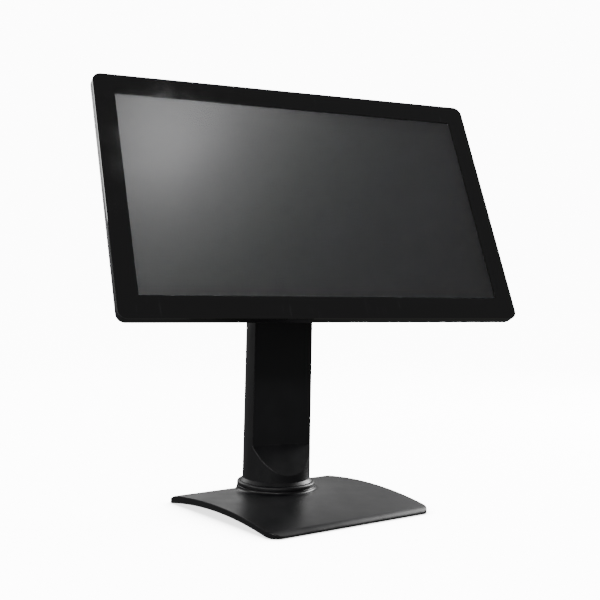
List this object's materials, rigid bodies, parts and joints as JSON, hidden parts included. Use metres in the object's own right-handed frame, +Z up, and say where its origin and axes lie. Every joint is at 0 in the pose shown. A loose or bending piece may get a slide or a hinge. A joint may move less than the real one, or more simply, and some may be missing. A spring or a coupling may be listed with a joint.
{
  "type": "touchscreen kiosk",
  "caption": "Counter-top touchscreen kiosk: a wide flat touch monitor tilted back on a swivelling round column with a flat front and a low arched rectangular base.",
  "frame": {"origin": "origin on the table, in the screen's middle plane, level with the middle of the base; the middle of the part's box at its bottom", "axes": "+Z up, -Y the way the screen faces, +X to the right of someone who looks at the screen"},
  "size_m": [0.662, 0.3432, 0.6785],
  "materials": {
    "cast_base": "satin black powder coat on cast iron",
    "black_plastic": "moulded black ABS, satin",
    "cover_glass": "black-printed toughened glass",
    "display": "switched-off display with an anti-glare face",
    "zinc_steel": "zinc-plated steel",
    "plain_steel": "pressed steel sheet",
    "black_steel": "black powder-coated steel",
    "heat_sink_aluminium": "extruded aluminium",
    "acetal": "natural acetal",
    "rubber_black": "moulded rubber",
    "foam_tape": "foam bonding tape",
    "circuit_board": "green solder mask",
    "button_plastic": "moulded black plastic"
  },
  "bodies": {
    "base": {"base_plate": "cast_base", "base_foot_pads": "rubber_black", "collar_ring": "black_plastic", "swivel_thrust_washer": "acetal", "swivel_stop_pin": "zinc_steel", "swivel_stud": "zinc_steel", "swivel_top_washer": "acetal", "swivel_disc_springs": "plain_steel", "swivel_lock_nut": "zinc_steel"},
    "column": {"column_foot_plate": "plain_steel", "column_mast": "plain_steel", "column_front_shell": "black_plastic", "column_rear_cover": "black_plastic", "column_shell_screws": "zinc_steel", "shell_spacers": "black_plastic", "column_top_cap": "black_plastic", "cable_grommet": "rubber_black", "hinge_yoke": "black_steel", "yoke_screws": "zinc_steel"},
    "head": {"hinge_shaft": "zinc_steel", "hinge_friction_washers": "acetal", "hinge_nuts": "zinc_steel", "monitor_bracket": "black_steel", "monitor_bracket_screws": "zinc_steel", "cover_glass": "cover_glass", "glass_tape": "foam_tape", "lcd_panel": "display", "front_frame": "black_plastic", "chassis_plate": "plain_steel", "chassis_screws": "zinc_steel", "rear_case": "black_plastic", "rear_case_screws": "zinc_steel", "main_board": "circuit_board", "heat_sink": "heat_sink_aluminium", "network_socket": "zinc_steel", "usb_sockets": "zinc_steel", "video_socket": "zinc_steel", "power_inlet": "black_plastic", "port_bracket": "zinc_steel", "driver_board": "circuit_board", "touch_board": "circuit_board", "board_screws": "zinc_steel", "speakers": "black_plastic", "button_board": "circuit_board"},
    "power_button": {"power_button": "button_plastic"},
    "menu_button": {"menu_button": "button_plastic"},
    "down_button": {"down_button": "button_plastic"},
    "up_button": {"up_button": "button_plastic"},
    "source_button": {"source_button": "button_plastic"}
  },
  "joints": [
    {"name": "swivel", "type": "hinge", "parent": "base", "child": "column", "pos_m": [0, 0.0626, 0.03], "axis": [0, 0, 1], "range_deg": [-32, 58]},
    {"name": "tilt", "type": "hinge", "parent": "column", "child": "head", "pos_m": [0, 0.0246, 0.478], "axis": [-1, 0, 0], "range_deg": [-31.5, 28.5]},
    {"name": "power_press", "type": "slide", "parent": "head", "child": "power_button", "axis": [0, -0.8949, 0.4462], "range_m": [0, 0.001], "stiffness_N_per_m": 700, "springref_m": -0.0008},
    {"name": "menu_press", "type": "slide", "parent": "head", "child": "menu_button", "axis": [0, -0.8949, 0.4462], "range_m": [0, 0.001], "stiffness_N_per_m": 700, "springref_m": -0.0008},
    {"name": "down_press", "type": "slide", "parent": "head", "child": "down_button", "axis": [0, -0.8949, 0.4462], "range_m": [0, 0.001], "stiffness_N_per_m": 700, "springref_m": -0.0008},
    {"name": "up_press", "type": "slide", "parent": "head", "child": "up_button", "axis": [0, -0.8949, 0.4462], "range_m": [0, 0.001], "stiffness_N_per_m": 700, "springref_m": -0.0008},
    {"name": "source_press", "type": "slide", "parent": "head", "child": "source_button", "axis": [0, -0.8949, 0.4462], "range_m": [0, 0.001], "stiffness_N_per_m": 700, "springref_m": -0.0008}
  ]
}
